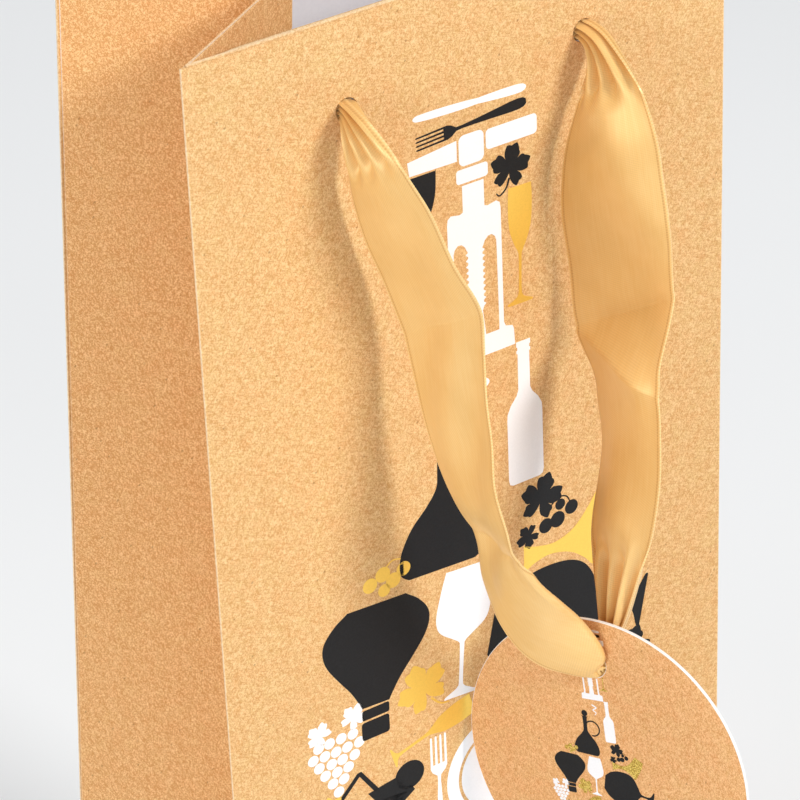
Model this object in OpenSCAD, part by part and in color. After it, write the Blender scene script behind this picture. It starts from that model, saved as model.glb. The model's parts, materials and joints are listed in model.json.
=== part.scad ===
// Wine gift bag: folded paper block-bottom bag with side gussets, turned-in
// top hem, stiffening cards, two satin ribbon handles and a round swing tag.
// Millimetres. Origin at the middle of the base on the ground, Z up,
// front panel towards -Y.

/* [Bag] */
// Width of the front and back panels, mm
bag_w = 127; // [100:1:160]
// Depth of the base from front to back, mm
bag_d = 90; // [70:1:110]
// Height of the bag to its top edge, mm
bag_h = 350; // [260:1:420]
// Opening between the panels at the mouth as the bag stands, mm
mouth_gap = 45; // [40:1:60]
// Height of the cross crease above the base, mm
fold_h = 52; // [46:1:60]
// Depth of the bag at the cross crease, mm
fold_d = 78; // [72:1:84]
// Thickness of the kraft paper, mm
paper_t = 0.4; // [0.3:0.05:0.6]

/* [Top edge] */
// Height of the turned-in hem, mm
hem_h = 12; // [8:1:20]
// Height of the stiffening card behind the top of each panel, mm
card_h = 34; // [28:1:50]
// Thickness of the stiffening card, mm
card_t = 0.8; // [0.5:0.1:1.2]
// Distance between the two ribbon holes, mm
hole_gap = 56; // [40:1:70]
// Ribbon holes below the top edge, mm
hole_drop = 19; // [15:1:26]
// Diameter of the ribbon holes, mm
hole_dia = 5; // [4:0.5:7]

/* [Ribbon] */
// Thickness of the satin ribbon where it lies flat, mm
ribbon_t = 0.4; // [0.3:0.1:0.8]
// Thickness of the ribbon where it is gathered to pass a hole, mm
gather_t = 2.2; // [1.4:0.2:2.6]
// Size of the knots behind the holes, mm
knot_d = 9; // [7:0.5:11]

/* [Tag] */
// Diameter of the round tag, mm
tag_dia = 67; // [50:1:80]
// Thickness of the tag, mm
tag_t = 0.8; // [0.5:0.1:1.2]
// Diameter of the hole in the tag, mm
tag_hole_dia = 6.5; // [4:0.5:8]
// Hole centre below the top of the tag, mm
tag_hole_drop = 10; // [8:1:14]
// Turn of the hanging tag away from facing the front, degrees
tag_turn = 69; // [40:1:90]
// Lean of the hanging tag, degrees
tag_lean = 14; // [0:1:25]

/* [Base] */
// Thickness of the loose board in the base, mm
board_t = 1.2; // [0.8:0.1:2]
// Overlap of the front and back bottom flaps, mm
flap_lap = 20; // [10:1:30]
// Reach of the side bottom flaps, mm
flap_reach = 40; // [30:1:44]

/* [Hidden] */
$fn = 64;
kraft = [0.87, 0.71, 0.51];
white = [0.95, 0.95, 0.95];
gold = [0.84, 0.66, 0.35];
hw = bag_w / 2;
hd0 = bag_d / 2;
hdf = fold_d / 2;
hdt = mouth_gap / 2;
up_h = bag_h - fold_h;
lean = atan((hdf - hdt) / up_h);
low_lean = atan((hd0 - hdf) / fold_h);
up_len = norm([hdf - hdt, up_h]);
low_len = norm([hd0 - hdf, fold_h]);
hx = hole_gap / 2;
stack = paper_t + card_t;
gus = hd0;                 // width of one half of a side gusset
slices = 14;
eps = 0.05;

// half depth of the bag at height z
function hd(z) = z < fold_h ? hd0 + (hdf - hd0) * z / fold_h
                            : hdf + (hdt - hdf) * (z - fold_h) / up_h;

// point on a side gusset: s side, q half, z height, u from the panel edge
// along the half, o towards the inside of the bag
function gth(z) = acos(hd(z) / gus);
function gpt(s, q, z, u, o) = [
    s * hw - s * sin(gth(z)) * u - s * cos(gth(z)) * o,
    q * hd(z) - q * cos(gth(z)) * u + q * sin(gth(z)) * o,
    z];
// width of a gusset half up to the clearance at its centre crease
function ucr(z) = (hd(z) - 0.25 - paper_t * sin(gth(z))) / cos(gth(z));
apex = hw - gus * sin(gth(fold_h));

// point given as across, out from the panel and down from its top edge
function pp(p, q) =
    let (yl = -p[1], zl = up_len - p[2])
    [p[0],
     -q * (-hdf + yl * cos(lean) + zl * sin(lean)),
     fold_h - yl * sin(lean) + zl * cos(lean)];

// smooth curve through a list of points
function cr(a, b, c, d, t) =
    0.5 * ((2 * b) + (c - a) * t + (2 * a - 5 * b + 4 * c - d) * t * t
    + (3 * b - a - 3 * c + d) * t * t * t);
function pick(l, i) = l[max(0, min(len(l) - 1, i))];
function smooth(l, m) = concat(
    [for (i = [0 : len(l) - 2]) for (j = [0 : m - 1])
        cr(pick(l, i - 1), l[i], l[i + 1], pick(l, i + 2), j / m)],
    [l[len(l) - 1]]);
function unit(v) = v / norm(v);

// closed strip between two edge curves, thickness list th
module strip(a, b, th) {
    n = len(a);
    nr = [for (i = [0 : n - 1])
        let (t = pick(a, i + 1) + pick(b, i + 1) - pick(a, i - 1) - pick(b, i - 1))
        unit(cross(t, b[i] - a[i]))];
    pts = [for (i = [0 : n - 1]) for (k = [0 : 3])
        (k < 2 ? a[i] : b[i]) + nr[i] * th[i] / 2 * (k == 0 || k == 3 ? 1 : -1)];
    fs = concat(
        [[0, 2, 1], [0, 3, 2]],
        [for (i = [0 : n - 2]) for (k = [0 : 2])
            [4 * i + k, 4 * i + k + 1, 4 * i + 4 + k]],
        [for (i = [0 : n - 2]) for (k = [0 : 2])
            [4 * i + k + 1, 4 * i + 5 + k, 4 * i + 4 + k]],
        [for (i = [0 : n - 2]) [4 * i + 3, 4 * i, 4 * i + 4]],
        [for (i = [0 : n - 2]) [4 * i + 3, 4 * i + 4, 4 * i + 7]],
        [[4 * n - 4, 4 * n - 3, 4 * n - 2], [4 * n - 4, 4 * n - 2, 4 * n - 1]]);
    polyhedron(points = pts, faces = fs, convexity = 8);
}

// triangular leaf of paper, drawn in a little from its creases
module leaf(p, q, r) {
    c = (p + q + r) / 3;
    k = 0.98;
    a = [c + (p - c) * k, c + (q - c) * k, c + (r - c) * k];
    n = unit(cross(q - p, r - p)) * paper_t / 2;
    polyhedron(
        points = [a[0] - n, a[1] - n, a[2] - n, a[0] + n, a[1] + n, a[2] + n],
        faces = [[0, 1, 2], [5, 4, 3], [0, 3, 4], [0, 4, 1], [1, 4, 5],
                 [1, 5, 2], [2, 5, 3], [2, 3, 0]]);
}

module on_upper(q) {
    translate([0, q * hdf, fold_h]) rotate([q * lean, 0, 0]) children();
}
module on_lower(q) {
    translate([0, q * hd0, 0]) rotate([q * low_lean, 0, 0]) children();
}
// plate on a panel: half width w, from z0 to z1, from depth d0 to d1 inwards
module plate(q, w, z0, z1, d0, d1) {
    translate([-w, q < 0 ? d0 : -d1, z0]) cube([2 * w, d1 - d0, z1 - z0]);
}
module holes(q) {
    for (x = [-hx, hx])
        translate([x, 0, up_len - hole_drop])
            rotate([90, 0, 0]) cylinder(h = 12, d = hole_dia, center = true);
}

module upper_panel(q) {
    color(kraft) on_upper(q) difference() {
        plate(q, hw, 0.2, up_len, 0, paper_t);
        holes(q);
    }
}
module lower_panel(q) {
    color(kraft) on_lower(q) plate(q, hw, 1, low_len - 0.1, 0, paper_t);
}
module top_card(q) {
    color(white) on_upper(q) difference() {
        plate(q, hw - 12, up_len - card_h, up_len - paper_t, paper_t, stack);
        holes(q);
    }
}
module top_hem(q) {
    color(kraft) on_upper(q) union() {
        plate(q, hw - 8, up_len - hem_h, up_len, stack, stack + paper_t);
        plate(q, hw - 8, up_len - paper_t, up_len, paper_t, stack + eps);
    }
}

module gusset_half(s, q) {
    zs = [for (i = [0 : slices])
        fold_h + 0.4 + (bag_h - fold_h - 0.4) * i / slices];
    color(kraft)
    strip([for (z = zs) gpt(s, q, z, 1.8, -paper_t / 2)],
          [for (z = zs) gpt(s, q, z, ucr(z), -paper_t / 2)],
          [for (z = zs) paper_t]);
}
module gusset_hem(s, q) {
    zs = [for (i = [0 : 2]) bag_h - hem_h + hem_h * i / 2];
    color(kraft)
    strip([for (z = zs) gpt(s, q, z, 10, 0.02 + paper_t / 2)],
          [for (z = zs) gpt(s, q, z, gus - 2, 0.02 + paper_t / 2)],
          [for (z = zs) paper_t]);
}
module gusset_base(s) {
    color(kraft)
    leaf([s * (hw - 0.3), -hd0 + 0.8, 1.6], [s * (hw - 0.3), hd0 - 0.8, 1.6],
         [s * apex, 0, fold_h]);
}
module gusset_corner(s, q) {
    color(kraft)
    leaf([s * (hw - 0.3), q * (hd0 - 0.8), 2], [s * apex, 0, fold_h],
         [s * (hw - 0.3), q * (hdf - 0.8), fold_h - 0.6]);
}

module seam_tab() {
    color(kraft) on_upper(1)
        translate([hw - 18, -2 * paper_t, 2])
            cube([13, paper_t, up_len - card_h - 4]);
}

module long_flap(q, z) {
    y0 = q * (hd0 - 0.5);
    y1 = -q * flap_lap / 2;
    color(kraft)
    translate([0, 0, z]) linear_extrude(paper_t)
        polygon([[-hw + 0.5, y0], [hw - 0.5, y0], [hw - 9, y1], [-hw + 9, y1]]);
}
module side_flap(s) {
    x0 = s * (hw - 0.6);
    x1 = s * (hw - flap_reach);
    color(kraft)
    translate([0, 0, 2 * paper_t]) linear_extrude(paper_t)
        polygon([[x0, -hd0 + 1], [x0, hd0 - 1],
                 [x1, hd0 - flap_reach * 0.6], [x1, -hd0 + flap_reach * 0.6]]);
}
module board() {
    color(white)
    translate([0, 0, 3 * paper_t + eps]) linear_extrude(board_t)
        offset(r = 3) square([bag_w - 10.4, bag_d - 10], center = true);
}

// the knotted end of a ribbon behind its hole, with a short cut tail
module knot(s, q) {
    color(gold)
    translate(pp([s * hx, -stack - 0.4 - knot_d * 0.4, hole_drop], q))
        scale([1, 0.8, 1]) sphere(d = knot_d, $fn = 32);
}

// ribbon edges as across, out, down: first the edge nearest the panel,
// then the outer edge
fr_in = [[-28, -1, 21], [-28, 1, 21], [-29, 2, 22], [-30, 3, 26],
    [-29, 3, 36], [-27, 3, 46], [-24, 4, 56], [-22, 6, 66], [-21, 8, 76],
    [-20, 10, 87], [-18, 12, 97], [-16, 15, 105], [-13, 17, 113],
    [-11, 17, 123], [-9, 18, 133], [-5, 20, 141], [-1, 25, 144],
    [3, 27, 146], [5, 28, 146], [8, 29, 145], [10, 28, 140],
    [11, 25, 133], [12, 22, 128], [15, 19, 120], [18, 16, 110],
    [21, 14, 103], [22, 12, 95], [23, 10, 90], [21, 6, 80], [21, 4, 68],
    [20, 3, 57], [20, 3, 49], [21, 3, 41], [24, 3, 32], [27, 3, 25],
    [28, 2, 22], [28, 1, 21], [28, -1, 21]];
fr_out = [[-28, -1, 17], [-28, 1, 17], [-29, 5, 17], [-30, 13, 18],
    [-28, 22, 26], [-25, 24, 33], [-22, 26, 44], [-19, 28, 53],
    [-19, 29, 62], [-19, 30, 72], [-19, 32, 81], [-20, 34, 90],
    [-19, 36, 99], [-17, 35, 107], [-12, 34, 116], [-5, 33, 125],
    [1, 30, 133], [4, 30, 141], [6, 30, 142], [8, 31, 142], [11, 33, 137],
    [12, 34, 129], [14, 37, 121], [15, 39, 110], [17, 38, 99],
    [19, 36, 92], [21, 34, 84], [22, 32, 79], [28, 28, 70], [30, 26, 60],
    [29, 26, 51], [28, 25, 42], [27, 24, 33], [27, 19, 24], [27, 12, 19],
    [28, 5, 17], [28, 1, 17], [28, -1, 17]];
bk_half_in = [[-28, -1, 21], [-28, 1, 21], [-28, 2, 22], [-28, 3, 27],
    [-27, 3, 38], [-25, 3, 58], [-23, 3, 80], [-21, 3, 102],
    [-18, 3, 122], [-11, 3, 136], [0, 3, 141]];
bk_half_out = [[-28, -1, 17], [-28, 1, 17], [-28, 5, 17], [-28, 13, 19],
    [-27, 25, 30], [-25, 28, 52], [-23, 28, 76], [-21, 28, 99],
    [-18, 28, 120], [-11, 28, 134], [0, 28, 140]];
function flipx(l) = [for (i = [len(l) - 2 : -1 : 0]) [-l[i][0], l[i][1], l[i][2]]];
// gathered and thick where narrow, flat where spread
function thick(a, b) = [for (i = [0 : len(a) - 1])
    let (w = norm(b[i] - a[i]))
    ribbon_t + (gather_t - ribbon_t) * max(0, min(1, (12 - w) / 7))];
module ribbon(a, b, q) {
    pa = smooth([for (p = a) pp(p, q)], 3);
    pb = smooth([for (p = b) pp(p, q)], 3);
    color(gold) strip(pa, pb, thick(pa, pb));
}

module tag() {
    color(kraft)
    translate(pp([6.5, 29.5, 144], -1))
        rotate([-tag_lean, 0, 0]) rotate([0, 0, -tag_turn])
            rotate([90, 0, 0]) difference() {
                translate([0, tag_hole_drop - tag_dia / 2, 0])
                    cylinder(h = tag_t, d = tag_dia, center = true, $fn = 128);
                cylinder(h = 4 * tag_t, d = tag_hole_dia, center = true);
            }
}

module front_panel() upper_panel(-1);
module back_panel() upper_panel(1);
module front_lower_panel() lower_panel(-1);
module back_lower_panel() lower_panel(1);
module front_hem() top_hem(-1);
module back_hem() top_hem(1);
module front_top_card() top_card(-1);
module back_top_card() top_card(1);
module gusset_front_left() gusset_half(-1, -1);
module gusset_front_right() gusset_half(1, -1);
module gusset_rear_left() gusset_half(-1, 1);
module gusset_rear_right() gusset_half(1, 1);
module gusset_hem_front_left() gusset_hem(-1, -1);
module gusset_hem_front_right() gusset_hem(1, -1);
module gusset_hem_rear_left() gusset_hem(-1, 1);
module gusset_hem_rear_right() gusset_hem(1, 1);
module gusset_base_left() gusset_base(-1);
module gusset_base_right() gusset_base(1);
module corner_front_left() gusset_corner(-1, -1);
module corner_front_right() gusset_corner(1, -1);
module corner_rear_left() gusset_corner(-1, 1);
module corner_rear_right() gusset_corner(1, 1);
module side_seam_tab() seam_tab();
module bottom_flap_back() long_flap(1, 0);
module bottom_flap_front() long_flap(-1, paper_t);
module bottom_flap_left() side_flap(-1);
module bottom_flap_right() side_flap(1);
module bottom_board() board();
module front_ribbon() ribbon(fr_in, fr_out, -1);
module back_ribbon() ribbon(concat(bk_half_in, flipx(bk_half_in)),
                            concat(bk_half_out, flipx(bk_half_out)), 1);
module front_knot_left() knot(-1, -1);
module front_knot_right() knot(1, -1);
module back_knot_left() knot(-1, 1);
module back_knot_right() knot(1, 1);
module tag_card() tag();

front_panel();
front_lower_panel();
back_panel();
back_lower_panel();
front_hem();
back_hem();
front_top_card();
back_top_card();
gusset_front_left();
gusset_front_right();
gusset_rear_left();
gusset_rear_right();
gusset_hem_front_left();
gusset_hem_front_right();
gusset_hem_rear_left();
gusset_hem_rear_right();
gusset_base_left();
gusset_base_right();
corner_front_left();
corner_front_right();
corner_rear_left();
corner_rear_right();
side_seam_tab();
bottom_flap_front();
bottom_flap_back();
bottom_flap_left();
bottom_flap_right();
bottom_board();
front_ribbon();
back_ribbon();
front_knot_left();
front_knot_right();
back_knot_left();
back_knot_right();
tag_card();
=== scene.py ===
"""Looks of the wine gift bag: paper, print, satin ribbons, tag. Millimetres inside, metres out."""
import bpy
import json
import math
import numpy as np
from mathutils import Matrix, Vector
from mathutils.geometry import tessellate_polygon

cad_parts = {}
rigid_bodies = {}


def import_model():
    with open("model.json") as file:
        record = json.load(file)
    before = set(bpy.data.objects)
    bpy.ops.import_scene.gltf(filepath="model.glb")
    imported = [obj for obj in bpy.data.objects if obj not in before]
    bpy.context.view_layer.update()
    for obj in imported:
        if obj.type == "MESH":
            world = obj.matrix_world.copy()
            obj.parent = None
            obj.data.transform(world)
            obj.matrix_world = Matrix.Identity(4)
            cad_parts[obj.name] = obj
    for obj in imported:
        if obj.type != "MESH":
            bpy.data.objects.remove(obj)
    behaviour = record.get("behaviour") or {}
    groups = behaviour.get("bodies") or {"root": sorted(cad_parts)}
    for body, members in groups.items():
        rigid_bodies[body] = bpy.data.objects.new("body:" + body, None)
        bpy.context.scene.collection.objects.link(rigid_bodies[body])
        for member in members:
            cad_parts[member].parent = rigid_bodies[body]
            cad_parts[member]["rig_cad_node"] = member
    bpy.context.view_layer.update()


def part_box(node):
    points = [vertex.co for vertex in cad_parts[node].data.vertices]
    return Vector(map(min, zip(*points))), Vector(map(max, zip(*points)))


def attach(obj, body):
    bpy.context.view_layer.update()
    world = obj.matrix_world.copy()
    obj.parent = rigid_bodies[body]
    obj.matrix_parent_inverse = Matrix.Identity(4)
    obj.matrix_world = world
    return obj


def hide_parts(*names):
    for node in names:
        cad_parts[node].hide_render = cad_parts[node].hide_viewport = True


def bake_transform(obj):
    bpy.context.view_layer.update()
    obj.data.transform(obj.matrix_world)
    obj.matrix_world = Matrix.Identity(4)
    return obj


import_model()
MM = 0.001

# ---------------------------------------------------------------- sizes, from the CAD boxes
lo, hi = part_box("front_panel")
HW = hi.x / MM                       # half width of the panels
H = round(hi.z / MM)                 # height of the bag
FOLD_H = round(lo.z / MM)            # cross crease
FOLD_D = -lo.y / MM                  # half depth at the crease
BASE_D = -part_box("front_lower_panel")[0].y / MM
MOUTH = 22.5                         # half depth at the mouth
T = 0.4                              # paper
CARD = 0.8                           # stiffening card
HOLE_X, HOLE_DROP, HOLE_R = 28.0, 19.0, 2.5
HEM = 12.0                           # how far the top edge is turned in
WORN = 0.62                          # kraft shows this far inside each fold
PANELS = ((-1, "front", "bag"), (1, "back", "back"))
UP = H - FOLD_H
LEAN = math.atan((FOLD_D - MOUTH) / UP)
UP_LEN = math.hypot(FOLD_D - MOUTH, UP)
cl, sl = math.cos(LEAN), math.sin(LEAN)


def half_d(z):
    z = np.asarray(z, float)
    return np.where(z < FOLD_H, BASE_D + (FOLD_D - BASE_D) * z / FOLD_H,
                    FOLD_D + (MOUTH - FOLD_D) * (z - FOLD_H) / UP)


def pp(p, q=-1):
    """Point given as across, out from the panel and down from its top edge; q is -1 front, 1 back."""
    p = np.asarray(p, float)
    yl, zl = -p[..., 1], UP_LEN - p[..., 2]
    return np.stack([p[..., 0], -q * (-FOLD_D + yl * cl + zl * sl),
                     FOLD_H - yl * sl + zl * cl], -1)


def bow(x, down):
    """Slight swell of a paper panel, nothing at its creases and round the top."""
    a = np.clip((down - 40) / 240, 0, 1)
    b = np.clip(1 - (np.asarray(x) / HW) ** 2, 0, 1)
    return 0.9 * np.sin(np.pi * a) ** 1.2 * b ** 0.8 \
        + 0.25 * np.sin(down / 23.0 + 1) * np.sin(np.asarray(x) / 19.0) * b * np.sin(np.pi * a)


# ---------------------------------------------------------------- mesh helpers
def make(name, verts, faces, mats=(), face_mats=None, smooth=True, uv=None, attrs=None):
    me = bpy.data.meshes.new(name)
    me.from_pydata([tuple(np.asarray(v) * MM) for v in verts], [], [tuple(f) for f in faces])
    me.validate()
    ob = bpy.data.objects.new(name, me)
    bpy.context.scene.collection.objects.link(ob)
    for m in mats:
        me.materials.append(m)
    if face_mats is not None:
        me.polygons.foreach_set("material_index", np.asarray(face_mats, np.int32))
    me.polygons.foreach_set("use_smooth", np.full(len(me.polygons), smooth))
    if uv is not None:
        lay = me.uv_layers.new(name="UVMap")
        vi = np.empty(len(me.loops), np.int32)
        me.loops.foreach_get("vertex_index", vi)
        lay.data.foreach_set("uv", np.asarray(uv, np.float32)[vi].ravel())
    for k, v in (attrs or {}).items():
        a = me.attributes.new(k, "FLOAT", "POINT")
        a.data.foreach_set("value", np.asarray(v, np.float32))
    me.update()
    return ob


def shell(name, P, nrm, t, mats, uv=None, attrs=None):
    """Sheet of thickness t from a grid P[i, j]: given side slot 0, other side slot 1, cut edges slot 2."""
    n, m = P.shape[:2]
    Q = P - nrm * t
    verts = np.concatenate([P.reshape(-1, 3), Q.reshape(-1, 3)])
    N = n * m
    f, fm = [], []
    for i in range(n - 1):
        for j in range(m - 1):
            a, b, c, d = i * m + j, i * m + j + 1, (i + 1) * m + j + 1, (i + 1) * m + j
            f.append((a, b, c, d))
            fm.append(0)
            f.append((a + N, d + N, c + N, b + N))
            fm.append(1)
    ring = [j for j in range(m)] + [i * m + m - 1 for i in range(1, n)] \
        + [(n - 1) * m + j for j in range(m - 2, -1, -1)] + [i * m for i in range(n - 2, 0, -1)]
    for a, b in zip(ring, ring[1:] + ring[:1]):
        f.append((b, a, a + N, b + N))
        fm.append(2)
    U = None if uv is None else np.concatenate([uv.reshape(-1, 2)] * 2)
    A = {k: np.concatenate([np.ravel(v)] * 2) for k, v in (attrs or {}).items()}
    return make(name, verts, f, mats, fm, True, U, A)


def normals(P, sign=1):
    du = np.gradient(P, axis=0)
    dv = np.gradient(P, axis=1)
    n = np.cross(du, dv)
    n /= np.linalg.norm(n, axis=-1, keepdims=True) + 1e-12
    return n * sign


def crisp(ob, angle=35):
    """Hard shading across creases and cut edges."""
    bpy.context.view_layer.objects.active = ob
    for o in bpy.context.selected_objects:
        o.select_set(False)
    ob.select_set(True)
    bpy.ops.object.shade_smooth_by_angle(angle=math.radians(angle))
    for m in list(ob.modifiers):
        bpy.ops.object.modifier_apply(modifier=m.name)


# ---------------------------------------------------------------- materials
class Nodes:
    def __init__(self, name):
        self.m = bpy.data.materials.new(name)
        self.m.use_nodes = True
        self.t = self.m.node_tree
        self.b = self.t.nodes["Principled BSDF"]

    def n(self, kind, **kw):
        x = self.t.nodes.new(kind)
        for k, v in kw.items():
            if k in x.inputs:
                x.inputs[k].default_value = v
            else:
                setattr(x, k, v)
        return x

    def link(self, a, b):
        self.t.links.new(a, b)

    def mix(self, fac, a, b, mode="MIX"):
        x = self.n("ShaderNodeMix", data_type="RGBA", blend_type=mode)
        for sock, v in ((0, fac), (6, a), (7, b)):
            if hasattr(v, "links"):
                self.link(v, x.inputs[sock])
            else:
                x.inputs[sock].default_value = v
        return x.outputs[2]

    def math(self, op, a, b=0.0, c=0.0):
        x = self.n("ShaderNodeMath", operation=op)
        for i, v in enumerate((a, b, c)):
            if hasattr(v, "links"):
                self.link(v, x.inputs[i])
            else:
                x.inputs[i].default_value = v
        return x.outputs[0]

    def ramp(self, fac, a, b):
        x = self.n("ShaderNodeMapRange", interpolation_type="SMOOTHSTEP")
        self.link(fac, x.inputs[0])
        x.inputs[1].default_value, x.inputs[2].default_value = a, b
        return x.outputs[0]

    def coords(self, scale=(1000, 1000, 1000), rot=(0, 0, 0)):
        """Object coordinates turned first and stretched after; scale is features per metre."""
        c = self.n("ShaderNodeTexCoord")
        mp = self.n("ShaderNodeMapping", vector_type="TEXTURE")
        mp.inputs["Scale"].default_value = tuple(1 / x for x in scale)
        mp.inputs["Rotation"].default_value = rot
        self.link(c.outputs["Object"], mp.inputs[0])
        return mp.outputs[0]

    def noise(self, vec, scale, detail=3.0, rough=0.6):
        x = self.n("ShaderNodeTexNoise")
        x.inputs["Scale"].default_value = scale
        x.inputs["Detail"].default_value = detail
        x.inputs["Roughness"].default_value = rough
        self.link(vec, x.inputs["Vector"])
        return x.outputs[0]

    def bump(self, h, strength, dist):
        x = self.n("ShaderNodeBump")
        x.inputs["Strength"].default_value = strength
        x.inputs["Distance"].default_value = dist
        self.link(h, x.inputs["Height"])
        self.link(x.outputs[0], self.b.inputs["Normal"])
        return x

    def attr(self, name):
        x = self.n("ShaderNodeAttribute", attribute_name=name)
        return x.outputs["Fac"]

    def color(self, c):
        self.link(c, self.b.inputs["Base Color"])

    def set(self, **kw):
        for k, v in kw.items():
            self.b.inputs[k.replace("_", " ")].default_value = v


def kraft(name, tone, crease=True, rough_mat=0.0):
    """Uncoated brown kraft: fine fibre mat, blotches, hair-like pale and dark fibres lying every way.
    rough_mat, from 0 to 1, brings out more of the fibres."""
    def c3(r, g, b_):
        return (min(1, tone[0] * r), min(1, tone[1] * g), min(1, tone[2] * b_), 1)
    k = Nodes(name)
    v = k.coords()
    fine = k.noise(v, 0.95, 6, 0.82)
    mid = k.noise(v, 0.75, 3, 0.6)
    hue = k.noise(v, 0.28, 3, 0.6)
    cloud = k.noise(v, 0.03, 3, 0.5)
    col = k.mix(k.ramp(fine, 0.36, 0.66), c3(0.82, 0.71, 0.55), c3(1.13, 1.25, 1.42))
    col = k.mix(k.math("MULTIPLY", k.ramp(mid, 0.42, 0.62), 0.50), col, c3(0.92, 0.82, 0.68))
    col = k.mix(k.math("MULTIPLY", k.ramp(hue, 0.45, 0.68), 0.42), col, c3(1.02, 0.84, 0.78))
    col = k.mix(k.math("MULTIPLY", k.ramp(hue, 0.50, 0.30), 0.42), col, c3(1.00, 1.12, 1.06))
    col = k.mix(k.math("MULTIPLY", k.ramp(cloud, 0.40, 0.75), 0.25), col, c3(0.94, 0.88, 0.78))
    pale = dark = None
    for r in ((0.2, 0.35, 0.1), (0.5, -0.9, 0.3), (-0.4, 1.25, 0.8), (1.3, 0.2, 1.1), (-0.8, -0.4, 0.6),
              (0.9, 0.9, -1.0)):
        f = k.noise(k.coords((430, 3600, 3600), r), 1.0, 1.0, 0.5)
        lift = 0.03 + 0.03 * rough_mat
        p, d = k.ramp(f, 0.63 - lift, 0.70 - lift), k.ramp(f, 0.36 + lift, 0.29 + lift)
        pale = p if pale is None else k.math("MAXIMUM", pale, p)
        dark = d if dark is None else k.math("MAXIMUM", dark, d)
    col = k.mix(k.math("MULTIPLY", pale, 0.60), col, c3(1.18, 1.36, 1.65))
    col = k.mix(k.math("MULTIPLY", dark, 0.60 + 0.15 * rough_mat), col, c3(0.74, 0.56, 0.40))
    vo = k.n("ShaderNodeTexVoronoi", Scale=0.30)
    k.link(k.coords((1000, 1600, 700), (0.4, 0.5, 0.2)), vo.inputs["Vector"])
    spot = k.math("SUBTRACT", 1.0, k.ramp(vo.outputs["Distance"], 0.035, 0.10))
    col = k.mix(k.math("MULTIPLY", spot, 0.6), col, c3(0.42, 0.30, 0.20))
    if crease:
        worn = k.math("MULTIPLY", k.attr("edge"), k.ramp(k.noise(v, 1.2, 3), 0.15, 0.55))
        col = k.mix(k.math("MULTIPLY", worn, 0.55), col, (0.95, 0.80, 0.56, 1))
    k.color(col)
    k.set(Roughness=0.86, Specular_IOR_Level=0.2, Sheen_Weight=0.06)
    h = k.math("ADD", k.math("MULTIPLY", fine, 0.8),
               k.math("MULTIPLY", k.math("SUBTRACT", pale, dark), 0.12))
    k.bump(h, 0.30, 0.00022)
    return k.m


TONE = (0.755, 0.470, 0.205)
M_KRAFT = kraft("kraft_outside", TONE)
# Gussets: a brighter, redder copy of the same outside kraft, with more fibre showing; the extra brightness
# and warmth are painted bounce light from inside the gusset folds, not another paper.
M_KRAFT_PAINTED_BOUNCE = kraft("kraft_side_painted_bounce", (0.835, 0.490, 0.208), rough_mat=1.0)
M_TAG = kraft("kraft_tag", (0.80, 0.445, 0.190), False)


def plain_paper(name, col, warm, rough=0.8, grain=1.4):
    k = Nodes(name)
    v = k.coords()
    a = k.noise(v, grain, 4, 0.6)
    b = k.noise(v, 0.05, 2, 0.5)
    c = k.mix(k.math("MULTIPLY", k.ramp(a, 0.25, 0.75), 0.5), warm, col)
    c = k.mix(k.math("MULTIPLY", k.ramp(b, 0.3, 0.7), 0.3), c, warm)
    k.color(c)
    k.set(Roughness=rough, Specular_IOR_Level=0.3)
    k.bump(a, 0.2, 0.00012)
    return k.m


M_WHITE = plain_paper("paper_inside", (0.90, 0.89, 0.93, 1), (0.82, 0.80, 0.86, 1))
M_TAGEDGE = plain_paper("tag_cut_edge", (0.93, 0.92, 0.90, 1), (0.86, 0.85, 0.83, 1), 0.85, 3.0)
M_CARD = plain_paper("white_card", (0.90, 0.89, 0.93, 1), (0.83, 0.82, 0.87, 1), 0.65)
M_BOARD = plain_paper("base_board", (0.52, 0.40, 0.28, 1), (0.40, 0.30, 0.20, 1), 0.9, 2.2)


def ink(name, col, rough, low=0.9, metal=0.0, glit=False):
    k = Nodes(name)
    v = k.coords()
    a = k.noise(v, 2.6, 3, 0.6)
    dark = tuple(c * low for c in col[:3]) + (1,)
    c = k.mix(k.ramp(a, 0.3, 0.7), dark, col)
    if glit:
        vo = k.n("ShaderNodeTexVoronoi", Scale=6.5)
        k.link(v, vo.inputs["Vector"])
        sp = k.n("ShaderNodeSeparateColor")
        k.link(vo.outputs["Color"], sp.inputs[0])
        c = k.mix(k.ramp(sp.outputs[0], 0.15, 0.9), (0.46, 0.25, 0.03, 1), (1.0, 0.80, 0.22, 1))
        k.bump(sp.outputs[1], 1.0, 0.0006)
    else:
        k.bump(a, 0.15, 0.00008)
    k.color(c)
    k.set(Roughness=rough, Metallic=metal, Specular_IOR_Level=0.22)
    return k.m


M_BLACK = ink("ink_black", (0.0125, 0.013, 0.0145, 1), 0.6, 0.7)
M_WINK = ink("ink_white", (0.93, 0.93, 0.95, 1), 0.6, 0.97)
M_GOLD = ink("foil_gold", (0.98, 0.66, 0.13, 1), 0.34, 0.94, 0.6)
M_GLITTER = ink("glitter_gold", (0.8, 0.6, 0.2, 1), 0.3, 0.6, 0.8, True)


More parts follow.
